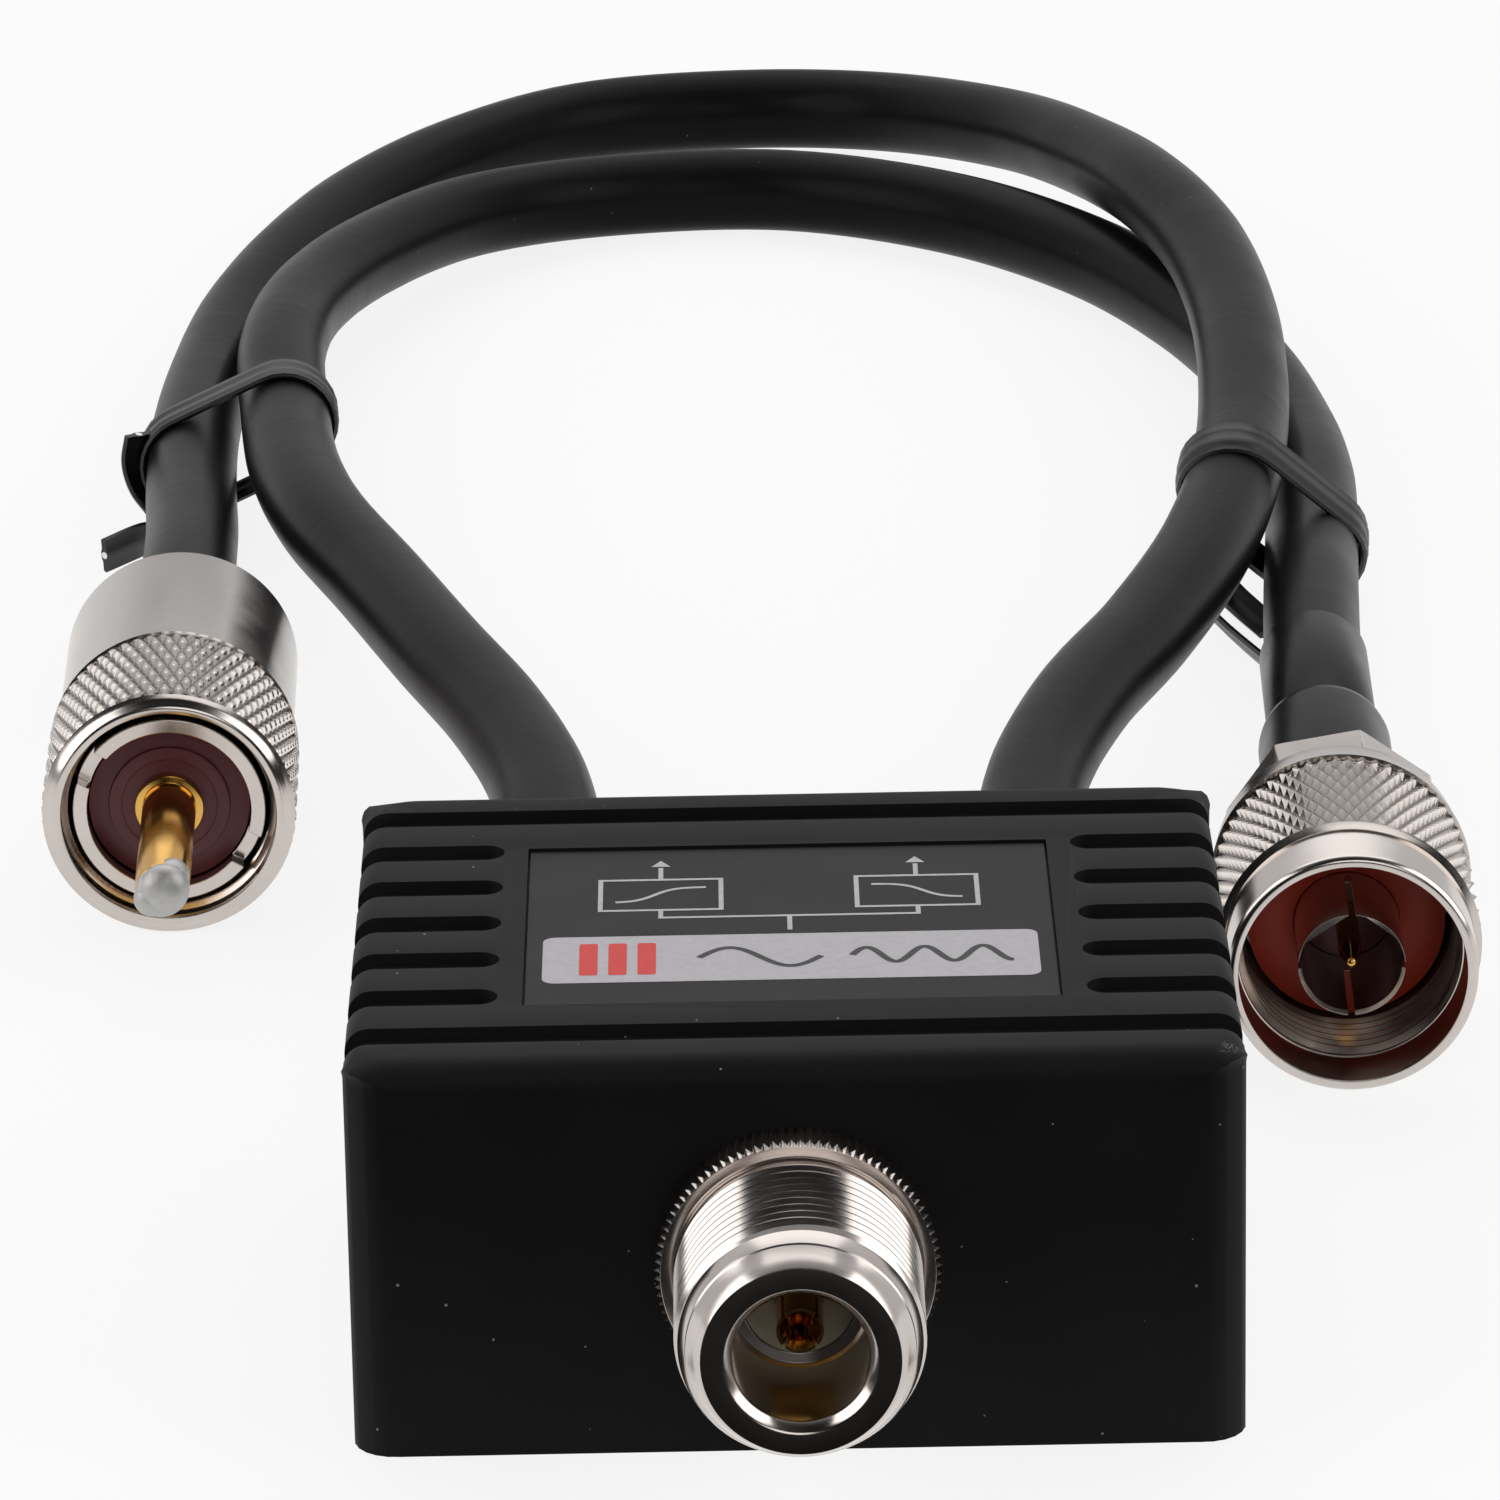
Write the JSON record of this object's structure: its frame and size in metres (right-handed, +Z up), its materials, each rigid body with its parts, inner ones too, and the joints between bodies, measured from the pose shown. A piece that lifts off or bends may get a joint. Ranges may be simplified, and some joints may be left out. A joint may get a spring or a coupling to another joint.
{
  "type": "antenna duplexer",
  "caption": "Small black die-cast antenna duplexer with a screw-on antenna jack at the front and two coaxial leads at the rear, one ending in a PL plug and one in an N plug.",
  "frame": {"origin": "centre of the case's underside, on the surface that the duplexer lies on", "axes": "+Z up, -Y out of the front along the antenna jack, +X to the right seen from the front"},
  "size_m": [0.1046, 0.3188, 0.027],
  "materials": {
    "case_paint": "fine-textured matt black paint on die-cast metal",
    "cover_paint": "matt black paint on sheet metal",
    "black_steel": "blackened steel",
    "label": "printed foil, dark grey with a silver band",
    "nickel": "satin nickel plate on brass",
    "gold": "thin gold plate on brass",
    "tinned_steel": "dull tin plate",
    "solder": "smooth solder",
    "clamp_brass": "bare brass",
    "copper": "enamelled copper",
    "white_plastic": "waxy white plastic",
    "brown_phenolic": "smooth brown phenolic",
    "red_rubber": "silicone rubber",
    "black_rubber": "black rubber",
    "lead_jacket": "satin black vinyl",
    "shrink_sleeve": "satin black shrink tube",
    "tie_plastic": "black vinyl over a wire",
    "board": "green board",
    "capacitor_coat": "dipped coat"
  },
  "bodies": {
    "duplexer": {"case_shell": "case_paint", "bottom_cover": "cover_paint", "cover_screws": "black_steel", "label_plate": "label", "jack_body": "nickel", "jack_ring_nut": "nickel", "jack_washer": "tinned_steel", "jack_insulator": "white_plastic", "jack_contact": "gold", "jack_wire": "tinned_steel", "left_grommet": "black_rubber", "right_grommet": "black_rubber", "left_lead_clamp": "clamp_brass", "right_lead_clamp": "clamp_brass", "circuit_board": "board", "board_screws": "tinned_steel", "screen_plate": "tinned_steel", "low_coil_1": "copper", "low_coil_2": "copper", "low_coil_3": "copper", "high_coil_1": "copper", "high_coil_2": "copper", "low_capacitor_1": "capacitor_coat", "low_capacitor_2": "capacitor_coat", "high_capacitor_1": "capacitor_coat", "high_capacitor_2": "capacitor_coat", "high_band_insulation": "white_plastic", "low_band_insulation": "white_plastic", "high_band_wire": "copper", "low_band_wire": "copper", "high_band_lead": "lead_jacket", "low_band_lead": "lead_jacket", "left_tie": "tie_plastic", "right_tie": "tie_plastic", "pl_body": "nickel", "pl_insulator": "brown_phenolic", "pl_pin": "gold", "pl_solder_tip": "solder", "n_body": "nickel", "n_outer_contact": "nickel", "n_insulator": "brown_phenolic", "n_pin": "gold", "n_gasket": "red_rubber", "n_snap_ring": "tinned_steel", "n_ferrule": "nickel", "n_boot": "shrink_sleeve", "n_sleeve": "shrink_sleeve"},
    "pl_nut": {"pl_coupling_nut": "nickel"},
    "n_nut": {"n_coupling_nut": "nickel"}
  },
  "joints": [
    {"name": "pl_nut_spin", "type": "hinge", "parent": "duplexer", "child": "pl_nut", "pos_m": [-0.04558, 0.0864, 0.0095], "axis": [0.0209, -0.9998, 0], "continuous": true},
    {"name": "n_nut_spin", "type": "hinge", "parent": "duplexer", "child": "n_nut", "pos_m": [0.03979, 0.0442, 0.0095], "axis": [-0.0244, -0.9997, 0], "continuous": true}
  ]
}
